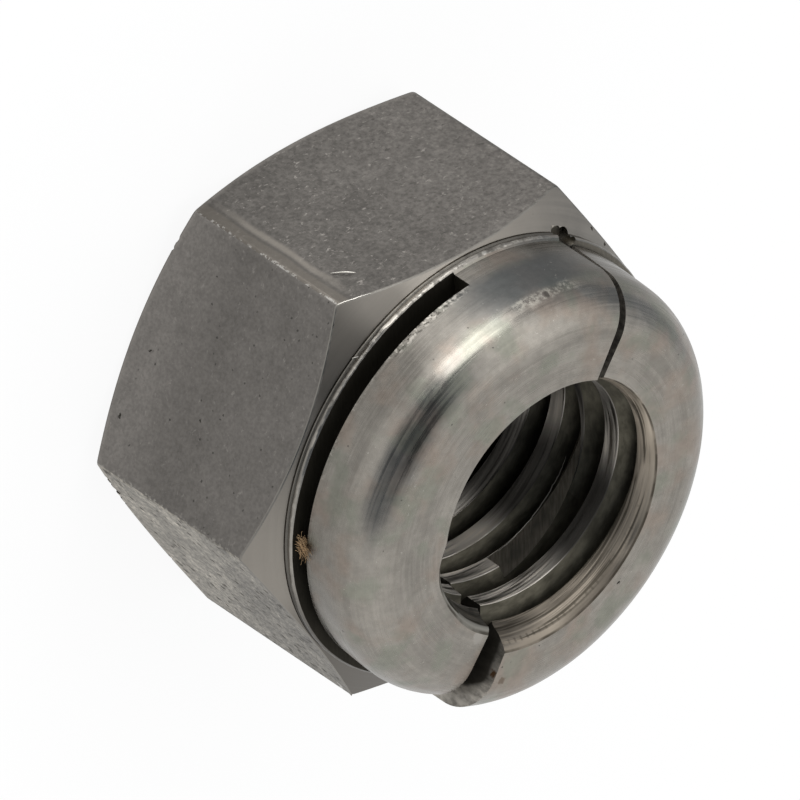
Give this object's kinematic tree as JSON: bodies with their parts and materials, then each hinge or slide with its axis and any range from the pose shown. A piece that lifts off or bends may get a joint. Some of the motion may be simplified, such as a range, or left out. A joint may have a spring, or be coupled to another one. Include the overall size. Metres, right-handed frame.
{
  "type": "all-metal lock nut",
  "caption": "Hexagon nut with a slotted collar whose arms are bent in, so that its own thread grips the bolt.",
  "frame": {"origin": "centre of the bearing face, on the thread axis", "axes": "+Z along the thread axis from the bearing face towards the collar, +X through a corner of the hexagon, +Y square to a flat"},
  "size_m": [0.0218, 0.019, 0.0148],
  "materials": {
    "stainless_steel": "Plain stainless steel: dull, finely pitted flats and a turned, half-bright collar, with light handling marks."
  },
  "bodies": {
    "root": {"lock_nut": "stainless_steel"}
  },
  "joints": []
}
